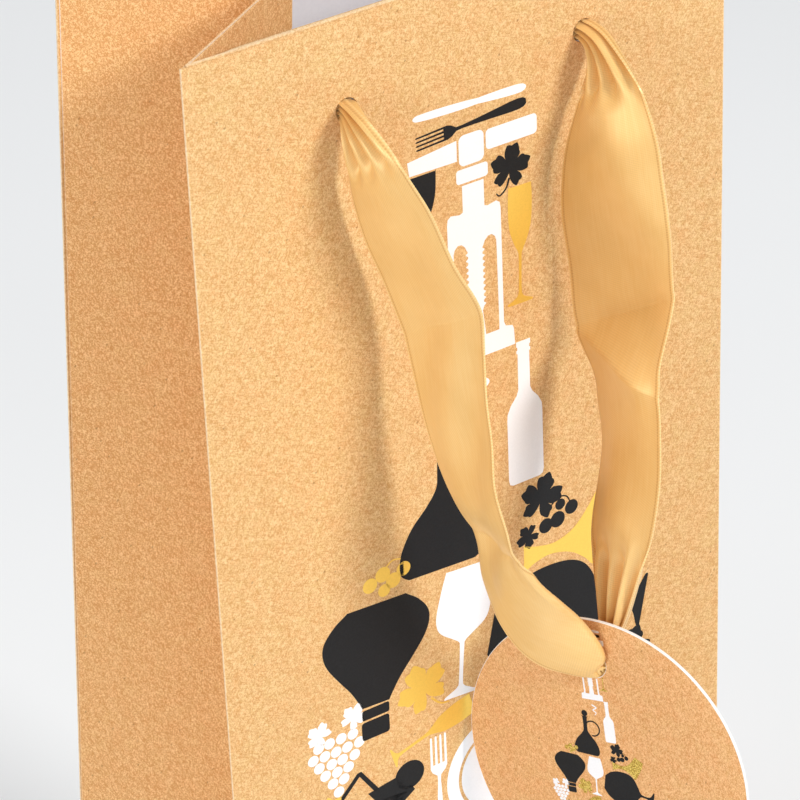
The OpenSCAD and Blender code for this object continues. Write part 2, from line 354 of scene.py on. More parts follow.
def satin(name, base, painted_shade_gold, hi_):
    """Single-face satin: fine slanted weft ribs, close warp, thin dark line inside a looped selvedge. Light
    is painted into its colour: a darker copy of the gold (painted shade) in soft blotches and in the hollows
    of the weft ribs, and a lighter copy, hi_ (painted highlight), along the warp, the slubs and the selvedge
    loops.
    """
    k = Nodes(name)
    uv = k.n("ShaderNodeUVMap")
    sep = k.n("ShaderNodeSeparateXYZ")
    k.link(uv.outputs[0], sep.inputs[0])
    along, across = sep.outputs[0], sep.outputs[1]        # millimetres

    def wave(x, period):
        return k.math("MULTIPLY_ADD", k.math("SINE", k.math("MULTIPLY", x, 2 * math.pi / period)), 0.5, 0.5)

    weft = wave(k.math("ADD", along, k.math("MULTIPLY", across, 0.45)), 0.47)
    warp = wave(across, 0.42)
    v = k.coords()
    soft = k.noise(v, 0.06, 3, 0.55)
    slub = k.n("ShaderNodeTexNoise")
    slub.inputs["Scale"].default_value = 1.0
    slub.inputs["Detail"].default_value = 3
    sv = k.n("ShaderNodeCombineXYZ")
    k.link(k.math("MULTIPLY", along, 0.12), sv.inputs[0])
    k.link(k.math("MULTIPLY", across, 1.6), sv.inputs[1])
    k.link(sv.outputs[0], slub.inputs["Vector"])
    # painted shade: soft blotches of the darker copy; painted highlight: the lighter copy hi_ along the slubs
    c = k.mix(k.ramp(soft, 0.25, 0.75), painted_shade_gold, base)
    c = k.mix(k.math("MULTIPLY", k.ramp(slub.outputs[0], 0.35, 0.7), 0.16), c, hi_)
    # painted shade in the hollows of the weft ribs; painted highlight along the warp threads
    c = k.mix(k.math("MULTIPLY", weft, 0.24), c, tuple(x * 0.72 for x in painted_shade_gold[:3]) + (1,))
    c = k.mix(k.math("MULTIPLY", warp, 0.10), c, hi_)
    edge = k.math("ABSOLUTE", k.math("SUBTRACT", across, 12.5))
    line = k.math("MULTIPLY", k.ramp(edge, 11.55, 11.75), k.ramp(edge, 12.15, 11.95))
    rim = k.ramp(edge, 12.1, 12.3)
    loops = wave(along, 0.62)
    dk = (0.56, 0.25, 0.05, 1)
    c = k.mix(k.math("MULTIPLY", line, k.math("MULTIPLY_ADD", loops, 0.35, 0.28)), c, dk)
    # painted highlight on the selvedge loops
    c = k.mix(k.math("MULTIPLY", rim, k.math("MULTIPLY_ADD", loops, 0.5, 0.1)), c, hi_)
    k.color(c)
    h = k.math("ADD", k.math("MULTIPLY", weft, 0.7), k.math("MULTIPLY", warp, 0.45))
    h = k.math("ADD", h, k.math("MULTIPLY", line, -1.4))
    h = k.math("ADD", h, k.math("MULTIPLY", k.math("MULTIPLY", rim, loops), 1.0))
    k.bump(h, 0.32, 0.00006)
    k.set(Roughness=0.40, Specular_IOR_Level=0.5, Sheen_Weight=0.2, Anisotropic=0.45, Metallic=0.16)
    k.b.inputs["Sheen Tint"].default_value = (1.0, 0.88, 0.62, 1)
    return k.m


# ribbon gold, then its darker copy for painted shade and its lighter copy for painted highlight
M_SATIN = satin("satin_gold", (0.93, 0.60, 0.225, 1), (0.84, 0.51, 0.165, 1), (1.0, 0.76, 0.38, 1))


# ---------------------------------------------------------------- paper panels
def cutter(q, r=HOLE_R, depth=12, n=40):
    obs = []
    for s in (-1, 1):
        c = pp([s * HOLE_X, 0, HOLE_DROP], q)
        bpy.ops.mesh.primitive_cylinder_add(vertices=n, radius=r * MM, depth=depth * MM,
                                            location=tuple(c * MM),
                                            rotation=(math.pi / 2 + (LEAN if q > 0 else -LEAN), 0, 0))
        obs.append(bpy.context.object)
    return obs


def punch(ob, q, r=HOLE_R):
    cs = cutter(q, r)
    for c in cs:
        m = ob.modifiers.new("hole", "BOOLEAN")
        m.operation, m.solver, m.object = "DIFFERENCE", "EXACT", c
        bpy.context.view_layer.objects.active = ob
        bpy.ops.object.modifier_apply(modifier=m.name)
    for c in cs:
        bpy.data.objects.remove(c, do_unlink=True)


def spread(a, b, n, fine=(0.12, 0.3, 0.6)):
    """Values from a to b with extra ones close to both ends, for the worn creases."""
    s = 1 if b > a else -1
    return np.array([a] + [a + s * f for f in fine] + list(np.linspace(a, b, n + 2)[1:-1])
                    + [b - s * f for f in fine[::-1]] + [b])


def edge_attr(d, r=0.24):
    return np.clip(1 - np.asarray(d) / r, 0, 1)


def panel(name, q):
    """Front or back: the leaf above the cross crease and the foot below it, in one sheet."""
    xs = spread(-HW, HW, 46)
    downs = spread(0, UP_LEN, 110)
    low_len = math.hypot(BASE_D - FOLD_D, FOLD_H)
    rows, edge = [], []
    for d in downs[::-1]:                         # from the crease up
        rows.append(pp(np.stack([xs, bow(xs, d), np.full_like(xs, d)], -1), q))
        e = edge_attr(HW - np.abs(xs))
        e = np.maximum(e, edge_attr(abs(UP_LEN - d)) * 0.8)
        edge.append(e)
    foot, fe = [], []
    for u in spread(0.5, low_len, 16)[:-1]:
        z = u * FOLD_H / low_len
        foot.append(np.stack([xs, np.full_like(xs, q * float(half_d(z))), np.full_like(xs, z)], -1))
        fe.append(np.maximum(edge_attr(HW - np.abs(xs)), float(edge_attr(min(u - 0.5, low_len - u))) * 0.8))
    P = np.array(foot + rows)
    E = np.array(fe + edge)
    n = normals(P)
    n *= np.sign(np.sum(n[..., 1:2] * q, keepdims=True))
    if q > 0:                                     # keep the outer side outwards
        P, n, E = P[:, ::-1], n[:, ::-1], E[:, ::-1]
    ob = shell(name, P, n, T, [M_KRAFT, M_WHITE, M_KRAFT], attrs={"edge": E})
    for f in ob.data.polygons:                    # the kraft side turns round the fold into the gusset
        if f.material_index == 1 and abs(f.center.x) > (HW - WORN) * MM:
            f.material_index = 0
    punch(ob, q)
    crisp(ob, 50)
    return ob


front = panel("paper_front", -1)
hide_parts("front_panel", "front_lower_panel")
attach(front, "bag")
back = panel("paper_back", 1)
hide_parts("back_panel", "back_lower_panel")
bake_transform(back)

# ---------------------------------------------------------------- side gussets
GUS = BASE_D


def gpt(s, q, z, u, o):
    th = np.arccos(np.clip(half_d(z) / GUS, -1, 1))
    return np.stack([s * HW - s * np.sin(th) * u - s * np.cos(th) * o,
                     q * half_d(z) - q * np.cos(th) * u + q * np.sin(th) * o,
                     np.broadcast_to(z, np.shape(u)) * 1.0], -1)


def gusset(name, s, q, z0, z1, u0, u1, off, t, nz, nu, mats, wave=0.35):
    zs = spread(z0, z1, nz)
    Z, U = np.meshgrid(zs, spread(0, 1, nu, (0.005, 0.012, 0.024)), indexing="ij")
    th = np.arccos(np.clip(half_d(Z) / GUS, -1, 1))   # start just behind the panel, whatever the angle
    start = np.maximum(u0, (np.sin(th) * (off + t + 0.05) + 0.08) / np.cos(th))
    U = start + U * (u1 - start)
    b = np.clip((U / GUS) * (1 - U / GUS) * 4, 0, 1)
    o = off + wave * np.sin(Z / 31.0 + s + q) * b * np.sin(np.pi * np.clip((H - Z) / 120, 0, 1) / 2)
    P = gpt(s, q, Z, U, o)
    E = np.maximum(edge_attr(np.minimum(U - start, u1 - U)), edge_attr(z1 - Z) * 0.6 * (z0 < 300))
    n = normals(P)
    out = gpt(s, q, Z, U, o - 1) - P              # towards the outside
    sg = np.sign(np.sum(n * out, -1, keepdims=True))
    n = n * sg
    if sg[0, 0, 0] < 0:
        P, n, E = P[:, ::-1], n[:, ::-1], E[:, ::-1]
    ob = shell(name, P, n, t, mats, attrs={"edge": E})
    crisp(ob, 50)
    return ob


for s, sn, sc in ((-1, "left", "l"), (1, "right", "r")):
    for q, qn, qc in ((-1, "front", "f"), (1, "rear", "r")):
        body, base = "gusset_" + qc + sc, ("bag" if q < 0 else "back")
        # gusset sheets and hems in the brighter, redder gusset kraft: painted bounce light
        g = gusset("gusset_%s_%s_sheet" % (qn, sn), s, q, FOLD_H - 0.6, H - 0.05, 0.25, GUS - 0.05, -0.05,
                   T, 60, 16,
                   [M_KRAFT_PAINTED_BOUNCE, M_WHITE, M_KRAFT_PAINTED_BOUNCE])
        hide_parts("gusset_%s_%s" % (qn, sn))
        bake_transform(g)
        h = gusset("gusset_%s_%s_hem" % (qn, sn), s, q, H - HEM, H, 0.9, GUS - 0.9, T + 0.05, T, 6, 16,
                   [M_WHITE, M_KRAFT_PAINTED_BOUNCE, M_KRAFT_PAINTED_BOUNCE], 0)
        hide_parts("gusset_hem_%s_%s" % (qn, sn))
        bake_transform(h)

# foot of each gusset: base triangle and two corner folds, one creased sheet
apex = HW - GUS * math.sin(math.acos(FOLD_D / GUS))


def foot(name, s):
    A = np.array([s * (HW - 0.15), -BASE_D + 0.3, 0.9])
    B = np.array([s * (HW - 0.15), BASE_D - 0.3, 0.9])
    C = np.array([s * apex, 0, FOLD_H])
    D = np.array([s * (HW - 0.1), -FOLD_D + 0.2, FOLD_H])
    Eb = np.array([s * (HW - 0.1), FOLD_D - 0.2, FOLD_H])
    verts, faces = [], []

    def tri(a, b, c, n=14):
        idx = {}
        nn = np.cross(b - a, c - a)
        nn /= np.linalg.norm(nn)
        if nn[0] * s < 0:
            nn = -nn
        for i in range(n + 1):
            for j in range(n + 1 - i):
                w = np.array([n - i - j, i, j]) / n
                p = w[0] * a + w[1] * b + w[2] * c
                bump = 27 * w[0] * w[1] * w[2]
                idx[i, j] = len(verts)
                verts.append(p - nn * 0.5 * bump)
        flip = np.dot(np.cross(b - a, c - a), nn) < 0
        for i in range(n):
            for j in range(n - i):
                f = (idx[i, j], idx[i + 1, j], idx[i, j + 1])
                faces.append(f[::-1] if flip else f)
                if j < n - i - 1:
                    f = (idx[i + 1, j], idx[i + 1, j + 1], idx[i, j + 1])
                    faces.append(f[::-1] if flip else f)

    tri(A, B, C)
    tri(A, C, D)
    tri(B, Eb, C)
    # the brighter, redder gusset kraft: painted bounce light, as on the gussets
    ob = make(name, verts, faces, [M_KRAFT_PAINTED_BOUNCE, M_WHITE, M_KRAFT_PAINTED_BOUNCE], None, True, None,
              {"edge": np.zeros(len(verts))})
    m = ob.modifiers.new("w", "WELD")
    m.merge_threshold = 2e-5
    m = ob.modifiers.new("t", "SOLIDIFY")
    m.thickness, m.offset, m.material_offset, m.material_offset_rim = T * MM, -1, 1, 2
    bpy.context.view_layer.objects.active = ob
    bpy.ops.object.modifier_apply(modifier="w")
    bpy.ops.object.modifier_apply(modifier="t")
    crisp(ob, 12)
    return ob


for s, sn in ((-1, "left"), (1, "right")):
    f = foot("foot_fold_" + sn, s)
    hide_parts("gusset_base_" + sn, "corner_front_" + sn, "corner_rear_" + sn)
    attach(f, "bag")


# ---------------------------------------------------------------- hems and cards
def hem(name, q):
    """Turned-in top edge: over the panel's top, then down behind the card, its cut edge slightly proud."""
    xs = spread(-HW + 1.3, HW - 1.3, 60)
    prof = [(-0.02, 0.12), (0.10, 0.0), (0.5, -0.03), (0.95, 0.0), (1.25, 0.2)] \
        + [(1.25, d) for d in np.linspace(0.6, HEM - 1.2, 10)] + [(1.3, HEM - 0.5), (1.38, HEM)]
    rows = []
    for ins, d in prof:
        side = np.clip((np.abs(xs) - (HW - 12)) / 4.0, 0, 1)      # drops onto the panel beyond the card
        step = ins - 0.78 * side * (1 if ins > 0.6 else 0)
        rough = 0.22 * np.sin(xs / 2.3) * np.sin(xs / 0.9 + 1) * (1 if d == HEM else 0)
        rows.append(pp(np.stack([xs, -step, np.full_like(xs, d) + rough], -1), q))
    P = np.array(rows)
    E = np.zeros(P.shape[:2])
    E[1:3] = 0.7
    E[-1] = 0.5
    n = normals(P)
    out = np.zeros_like(P)
    out[..., 1] = -q       # seen side faces the inside of the bag
    out[:3, :, :] = (0, 0, 1)
    sg = np.sign(np.sum(n[8] * out[8], -1).mean())
    n = n * sg
    if sg < 0:
        P, n, E = P[:, ::-1], n[:, ::-1], E[:, ::-1]
    ob = shell(name, P, n, -T * 0.9, [M_WHITE, M_KRAFT, M_KRAFT], attrs={"edge": E})
    crisp(ob, 60)
    return ob


for q, qn, body in PANELS:
    h = hem("hem_%s_sheet" % qn, q)
    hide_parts(qn + "_hem")
    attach(h, body)


def paint(node, *mats):
    """A CAD piece keeps its shape and gets a better material."""
    ob = next(o for o in bpy.data.objects if o.get("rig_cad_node") == node)
    ob.data.materials.clear()
    for m in mats:
        ob.data.materials.append(m)
    return ob


for n in ("front_top_card", "back_top_card"):
    paint(n, M_CARD)
for n in ("bottom_flap_front", "bottom_flap_back", "bottom_flap_left", "bottom_flap_right"):
    paint(n, kraft("kraft_" + n, TONE, False))
paint("bottom_board", M_BOARD)
paint("side_seam_tab", M_WHITE)


# ---------------------------------------------------------------- ribbons
def cr(pts, m):
    """Smooth curve through points, m steps between each two."""
    pts = np.asarray(pts, float)
    p = np.concatenate([pts[:1], pts, pts[-1:]])
    out = []
    for i in range(len(pts) - 1):
        a, b, c, d = p[i:i + 4]
        for t in np.arange(m) / m:
            out.append(0.5 * (2 * b + (c - a) * t + (2 * a - 5 * b + 4 * c - d) * t * t
                              + (3 * b - a - 3 * c + d) * t ** 3))
    out.append(pts[-1])
    return np.array(out)


FR_IN = [(-28, -1, 21), (-28, 1, 21), (-29, 2, 22), (-30, 3, 26), (-29, 3, 36), (-27, 3, 46),
         (-24, 4, 56), (-22, 6, 66), (-21, 8, 76), (-20, 10, 87), (-18, 12, 97), (-16, 15, 105),
         (-13, 17, 113), (-11.5, 17, 123), (-9.5, 18, 132), (-6, 20, 140), (-2.5, 22.5, 144.4),
         (0.2, 25, 145.9), (2.8, 27, 146.8), (4.9, 29, 147.4), (6.1, 30.5, 147.2), (7.1, 30.3, 145.8),
         (9, 28.6, 142.5), (10.5, 26.5, 137), (11.6, 23.5, 130.5), (13, 20.5, 124), (15, 18, 117),
         (18, 16, 110), (21, 14, 103), (22, 12, 95), (23, 10, 90), (21, 6, 80), (21, 4, 68), (20, 3, 57),
         (20, 3, 49), (21, 3, 41), (24, 3, 32), (27, 3, 25), (28, 2, 22), (28, 1, 21), (28, -1, 21)]
FR_OUT = [(-28, -1, 17), (-28, 1, 17), (-29, 5, 17), (-30, 13, 18), (-28, 22, 26), (-25, 24, 33),
          (-22, 26, 44), (-19, 28, 53), (-19, 29, 62), (-19, 30, 72), (-19, 32, 81), (-20, 34, 90),
          (-19, 36, 99), (-17, 35, 107), (-12, 34, 116), (-5, 33.3, 124), (0.9, 31.8, 130.6),
          (4.4, 32.9, 136.4), (5.9, 33.7, 140.2), (6.8, 33.7, 143.0), (7.4, 32.2, 143.6),
          (8.4, 31.2, 142.6), (10.4, 31.1, 139.8), (12.2, 32.6, 134.5), (12.8, 34.6, 128),
          (13.6, 36.6, 120.5), (15, 38, 112), (17, 38, 101), (19, 36, 92), (21, 34, 84), (22, 32, 79),
          (28, 28, 70), (30, 26, 60), (29, 26, 51), (28, 25, 42), (27, 24, 33), (27, 19, 24),
          (27, 12, 19), (28, 5, 17), (28, 1, 17), (28, -1, 17)]
BK_IN = [(-28, -1, 21), (-28, 1, 21), (-28, 2, 22), (-28, 3, 27), (-27, 3, 38), (-25, 3, 58),
         (-23, 3, 80), (-21, 3, 102), (-18, 3, 122), (-11, 3, 136), (0, 3, 141)]
BK_OUT = [(-28, -1, 17), (-28, 1, 17), (-28, 5, 17), (-28, 13, 19), (-27, 25, 30), (-25, 28, 52),
          (-23, 28, 76), (-21, 28, 99), (-18, 28, 120), (-11, 28, 134), (0, 28, 140)]
BK_IN = BK_IN + [(-x, o, d) for x, o, d in BK_IN[-2::-1]]
BK_OUT = BK_OUT + [(-x, o, d) for x, o, d in BK_OUT[-2::-1]]
WIDE = 25.0
PLEATS = 3.5


def pleat_height(w, t, k):
    """Height of the k folds that take up the spare width where the ribbon is gathered to w."""
    lo_, hi_ = 0.0, 6.0
    if w > WIDE - 0.3:
        return 0.0
    for _ in range(22):
        a = (lo_ + hi_) / 2
        y = a * np.sin(2 * np.pi * k * t)
        L = np.sum(np.hypot(np.diff(t) * w, np.diff(y)))
        lo_, hi_ = (a, hi_) if L < WIDE else (lo_, a)
    return a


def smoothstep(x, a, b):
    r = np.clip((np.asarray(x, float) - a) / (b - a), 0, 1)
    return r * r * (3 - 2 * r)


def even(x, k):
    """Running mean that keeps the ends."""
    y = np.array(x, float)
    y[k:-k] = np.convolve(x, np.ones(2 * k + 1) / (2 * k + 1), "valid")
    return y


def ribbon(name, ins, outs, q, turn, folds=(), creases=()):
    """Ribbon between two edge lines. Where they are closer than its width it is crowned, folded double
    (folds, by their distance before the turn) or pleated; creases are pressed lines from edge to edge."""
    A, B = cr(ins, 18), cr(outs, 18)
    mid = pp((A + B) / 2, q)
    step = np.concatenate([[0], np.cumsum(np.linalg.norm(np.diff(mid, axis=0), axis=1))])
    S = np.append(np.arange(0, step[-1], 0.42), step[-1])
    A = np.stack([even(np.interp(S, step, A[:, i]), 5) for i in range(3)], -1)
    B = np.stack([even(np.interp(S, step, B[:, i]), 5) for i in range(3)], -1)
    downA, downB = A[:, 2], B[:, 2]
    at = int(np.argmin(np.linalg.norm((A + B) / 2 - np.array(turn), axis=1)))
    A, B = pp(A, q), pp(B, q)
    nt = 57
    t = np.linspace(0, 1, nt)
    w = np.linalg.norm(B - A, axis=1)
    e = (B - A) / w[:, None]
    N = np.cross(np.gradient((A + B) / 2, axis=0), e)
    N /= np.linalg.norm(N, axis=1, keepdims=True)
    vis = 1 - 2 * smoothstep(S, S[at] - 6, S[at] + 6)              # which side of the ribbon is seen
    crown = smoothstep(w, 15, 21)
    hook = np.zeros(len(S))
    for s0, s1 in folds:
        s0, s1 = S[at] - s0, S[at] - s1
        hook = np.maximum(hook, smoothstep(S, s0, s0 + 12) * (1 - smoothstep(S, s1 - 4.5, s1)))
    crown = crown * (1 - hook)
    pl = 1 - crown - hook
    # three cross sections, mixed by weight: u across, y off the ribbon's plane
    hs = even([pleat_height(x, t, PLEATS) for x in w], 4)
    ph = 0.35 * np.sin(S / 21.0) * np.clip(w / WIDE, 0, 1)
    u1 = w[:, None] * t[None]
    y1 = hs[:, None] * np.sin(2 * np.pi * PLEATS * t[None] + ph[:, None]) * (1 - 0.25 * crown[:, None])
    h2 = even(np.minimum(2.0, np.sqrt(np.clip(3 * (WIDE - w) * w / 8, 0, None))), 22)
    y2 = (h2 * vis)[:, None] * np.sin(np.pi * t[None]) \
        + 0.5 * np.sin(2 * np.pi * t[None] + S[:, None] / 13.0) \
        + 0.22 * np.sin(3 * np.pi * t[None] + S[:, None] / 7.0)
    r = 0.95
    wh = np.maximum(w - r, 2.0)[:, None]                          # the double fold reaches the edge line
    run = t[None] * WIDE - wh
    ang = np.clip(run / r, 0, np.pi)
    u3 = np.where(run < 0, t[None] * WIDE, wh + r * np.sin(ang) - np.clip(run - np.pi * r, 0, None))
    # to and fro where the ribbon is narrowest
    u3 = np.where(u3 < 0, np.abs((u3 + wh) % (2 * wh) - wh), u3)
    y3 = np.where(run < 0, 0.9 * np.sin(np.pi * np.clip(t[None] * WIDE / wh, 0, 1)),
                  -r * (1 - np.cos(ang))) \
        * vis[:, None] + np.where(run > np.pi * r, -0.04 * (run - np.pi * r), 0) * vis[:, None]
    Uc = u1 * (pl + crown)[:, None] + u3 * hook[:, None]
    D = y1 * pl[:, None] + y2 * crown[:, None] + y3 * hook[:, None]
    for leg, dA, dB, amp, L, L2 in creases:
        idx = np.arange(len(S))
        ok = idx < at if leg == 0 else idx > at
        sA = S[np.argmin(np.where(ok, np.abs(downA - dA), 1e9))]
        sB = S[np.argmin(np.where(ok, np.abs(downB - dB), 1e9))]
        line = sA + (sB - sA) * t[None]
        x = S[:, None] - line
        D = D + amp * vis[:, None] * np.exp(-np.sqrt(x ** 2 + 0.2 ** 2) / np.where(x < 0, L, L2)) \
            * (1 - 0.6 * smoothstep(np.abs(2 * t - 1), 0.5, 1.0))[None]
    P = A[:, None] + e[:, None] * Uc[..., None] + N[:, None] * D[..., None]
    n = normals(P)
    U = np.stack(np.meshgrid(S, t * WIDE, indexing="ij"), -1)
    th = 0.34
    ob = shell(name, P + n * th / 2, n, th, [M_SATIN, M_SATIN, M_SATIN], uv=U)
    crisp(ob, 50)
    return ob, float(step[-1])


def knot(name, s, q):
    """Overhand knot behind the hole: a gathered ribbon wound round itself, with its cut tail hanging."""
    c = pp([s * HOLE_X, -T - CARD - 0.3 - 3.6, HOLE_DROP], q)
    verts, faces, uv = [], [], []

    def tube(path, ra, rb, folds, n=28):
        base = len(verts)
        path = np.array(path)
        tg = np.gradient(path, axis=0)
        tg /= np.linalg.norm(tg, axis=1, keepdims=True)
        up = np.array([0.3, 0.9, 0.2])
        L = 0
        for i, (p, d) in enumerate(zip(path, tg)):
            a = np.cross(d, up)
            a /= np.linalg.norm(a)
            b = np.cross(d, a)
            L += 0 if i == 0 else np.linalg.norm(path[i] - path[i - 1])
            for j in range(n):
                f = 2 * np.pi * j / n
                r = 1 + 0.16 * np.sin(folds * f + i * 0.25)
                verts.append(p + a * ra[i] * r * np.cos(f) + b * rb[i] * r * np.sin(f))
                uv.append((L, 12.5 + 8 * np.sin(f)))
        for i in range(len(path) - 1):
            for j in range(n):
                k = (j + 1) % n
                faces.append((base + i * n + j, base + i * n + k, base + (i + 1) * n + k,
                              base + (i + 1) * n + j))
        faces.append(tuple(base + j for j in range(n))[::-1])
        faces.append(tuple(base + (len(path) - 1) * n + j for j in range(n)))

    a = np.linspace(0, 2 * np.pi * 1.15, 46)
    ax = np.stack([2.5 * np.cos(a), 1.1 * np.sin(2 * a) * 0.5 * -q, 2.6 * np.sin(a)], -1)
    tube(c + ax, np.full(46, 1.65), np.full(46, 1.35), 7)
    b = np.linspace(-1, 1, 14)
    tube(c + np.stack([0.8 * b, np.full_like(b, -q * 0.6), 3.0 * b], -1), 1.8 - 0.5 * b ** 2,
         1.5 - 0.4 * b ** 2, 6)
    ob = make(name, verts, faces, [M_SATIN], None, True, np.array(uv))
    return ob


def tail(name, s, q):
    """Cut end of the ribbon below its knot, spread and slanted."""
    n, nt = 44, 25
    S = np.linspace(0, 24, n)
    t = np.linspace(0, 1, nt)
    w = 3.5 + 12.5 * np.clip(S / 16, 0, 1) ** 0.8
    x = s * HOLE_X - s * 1.5 * (S / 24) ** 2
    P = np.zeros((n, nt, 3))
    for i in range(n):
        d = HOLE_DROP + 3.5 + S[i] + 3.0 * (t - 0.5) * (S[i] / 24)
        fold = (2.0 - 1.3 * S[i] / 24) * np.sin(2 * np.pi * 2.5 * t + 0.4) * 0.6
        P[i] = pp(np.stack([x[i] + (t - 0.5) * w[i], -T - CARD - 3.4 + 0.6 * S[i] / 24 + fold, d], -1), q)
    nn = normals(P)
    U = np.stack(np.meshgrid(S, t * WIDE, indexing="ij"), -1)
    ob = shell(name, P + nn * 0.15, nn, 0.3, [M_SATIN] * 3, uv=U)
    crisp(ob, 60)
    return ob


# distances before the turn between which the front ribbon is folded double
FR_FOLDS = ((42, -1.5),)
# pressed creases: leg, how far down on the inner and the outer edge, height, and fall before and after
FR_CREASES = ((0, 67.5, 54.5, -1.3, 5, 7), (0, 109.8, 108.1, -3.0, 7, 12),
              (1, 80.0, 67.5, -3.0, 6, 4.0), (1, 81.5, 84.5, 3.2, 7, 5))
rf, len_f = ribbon("ribbon_front", FR_IN, FR_OUT, -1, (6.5, 30, 144), FR_FOLDS, FR_CREASES)
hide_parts("front_ribbon")
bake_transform(rf)
rb, len_b = ribbon("ribbon_back", BK_IN, BK_OUT, 1, (0, 14, 140))
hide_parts("back_ribbon")
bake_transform(rb)
for q, qn, body in PANELS:
    for s, sn in ((-1, "left"), (1, "right")):
        k = knot("knot_%s_%s" % (qn, sn), s, q)
        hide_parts("%s_knot_%s" % (qn, sn))
        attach(k, body)
        e = tail("ribbon_tail_%s_%s" % (qn, sn), s, q)
        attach(e, body)

# ---------------------------------------------------------------- tag
TAG_R, TAG_T, TAG_DROP, TAG_HR = 33.5, 0.8, 10.0, 3.25
TAG_TURN, TAG_LEAN = math.radians(69), math.radians(14)
tag_at = pp([6.5, 29.5, 144])
TAG_M = (Matrix.Translation(Vector(tag_at * MM)) @ Matrix.Rotation(-TAG_LEAN, 4, "X")
         @ Matrix.Rotation(-TAG_TURN, 4, "Z"))


def tagpt(x, y, up):
    """Point on the hanging tag: across, behind its face and above its hole."""
    v = TAG_M @ Vector((x * MM, y * MM, up * MM))
    return np.array(v) / MM


def tag():
    n = 160
    c0 = TAG_DROP - TAG_R
    verts, faces, fm = [], [], []
    a = 2 * np.pi * np.arange(n) / n
    half = TAG_T / 2
    # section of the cut edge: face, small round, edge, small round, face
    sec = [(-0.12, -half), (-0.03, -half + 0.03), (0, -half + 0.12), (0, half - 0.12), (-0.03, half - 0.03),
           (-0.12, half)]
    loops = []
    hole = [(TAG_HR + 0.12, half), (TAG_HR + 0.03, half - 0.03), (TAG_HR, half - 0.12),
            (TAG_HR, -half + 0.12),
            (TAG_HR + 0.03, -half + 0.03), (TAG_HR + 0.12, -half)]
    for r, y in hole:
        loops.append([tagpt(r * np.cos(x), y, r * np.sin(x)) for x in a])
    for dr, y in sec:
        loops.append([tagpt((TAG_R + dr) * np.cos(x), y, c0 + (TAG_R + dr) * np.sin(x)) for x in a])
    # rings run: hole edge round, front face, outer edge round, back face
    for L in loops:
        verts.extend(L)
    K = len(loops)
    for i in range(K):
        j = (i + 1) % K
        m = 2
        if i == 5:
            m = 0
        if i == K - 1:
            m = 1
        for k in range(n):
            k2 = (k + 1) % n
            faces.append((i * n + k, i * n + k2, j * n + k2, j * n + k))
            fm.append(m)
    ob = make("tag_disc", verts, faces, [M_TAG, M_TAG, M_TAGEDGE], fm, True)
    bpy.context.view_layer.objects.active = ob
    crisp(ob, 40)
    return ob


tg = tag()
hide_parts("tag_card")
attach(tg, "tag")

# ---------------------------------------------------------------- print: icons, x right and y down
def disc(x, y, r, n=26, sy=1.0):
    a = 2 * np.pi * np.arange(n) / n
    return np.stack([x + r * np.cos(a), y + r * sy * np.sin(a)], -1)


def rrect(x0, y0, x1, y1, r=0.6, n=6):
    out = []
    for cx, cy, a0 in ((x1 - r, y0 + r, -90), (x1 - r, y1 - r, 0), (x0 + r, y1 - r, 90),
                       (x0 + r, y0 + r, 180)):
        for k in range(n + 1):
            a = math.radians(a0 + 90 * k / n)
            out.append((cx + r * math.cos(a), cy + r * math.sin(a)))
    return np.array(out)


def turned(rows, m=6, curved=True):
    """Silhouette of a turned thing from rows of (distance along, half width)."""
    rows = np.asarray(rows, float)
    if curved:
        rows = cr(rows, m)
    rows[:, 1] = np.maximum(rows[:, 1], 0)
    return np.concatenate([np.stack([rows[:, 1], rows[:, 0]], -1),
                           np.stack([-rows[::-1, 1], rows[::-1, 0]], -1)])


def put(poly, x, y, ang=0.0, s=1.0, flip=False):
    p = np.array(poly, float) * s
    if flip:
        p[:, 0] *= -1
    c, si = math.cos(math.radians(ang)), math.sin(math.radians(ang))
    return np.stack([x + p[:, 0] * c - p[:, 1] * si, y + p[:, 0] * si + p[:, 1] * c], -1)


def axis(poly, p0, p1, s=None, length=None):
    """Lays a turned silhouette from p0 to p1."""
    d = math.hypot(p1[0] - p0[0], p1[1] - p0[1])
    ang = math.degrees(math.atan2(p1[0] - p0[0], p1[1] - p0[1]))
    return put(poly, p0[0], p0[1], -ang, d / length if length else (s or 1))


def leaf(r, turn=0.0, seed=0.0, n=170):
    """Vine leaf: five broad toothed lobes, deep notch at the stalk, pointing up before it is turned."""
    a = np.linspace(0, 2 * np.pi, n, endpoint=False)
    lob = np.abs(np.cos(2.5 * a)) ** 0.5
    tooth = 0.05 * (1 - np.abs(((a * 13 / np.pi + seed) % 2) - 1) * 2)
    rad = r * (0.46 + 0.50 * lob + tooth * (0.4 + lob)) * (1 + 0.12 * np.cos(a))
    d = np.abs(((a - np.pi + np.pi) % (2 * np.pi)) - np.pi)
    rad = rad * (1 - 0.62 * np.exp(-(d / 0.28) ** 2))
    return put(np.stack([rad * np.sin(a), -rad * np.cos(a)], -1), 0, 0, turn)


def stalk(pts, w0, w1):
    c = cr(pts, 8)
    t = np.gradient(c, axis=0)
    t /= np.linalg.norm(t, axis=1, keepdims=True)
    nn = np.stack([-t[:, 1], t[:, 0]], -1)
    w = np.linspace(w0, w1, len(c))[:, None] / 2
    return np.concatenate([c + nn * w, (c - nn * w)[::-1]])


def bunch(x, y, rows, r, gap=0.25, seed=1):
    out = []
    rng = np.random.RandomState(seed)
    for j, k in enumerate(rows):
        for i in range(k):
            jx, jy = rng.uniform(-0.12, 0.12, 2) * r
            out.append(disc(x + (i - (k - 1) / 2) * (2 * r + gap) + jx,
                            y + j * (1.78 * r + gap) + jy, r, 20))
    return out


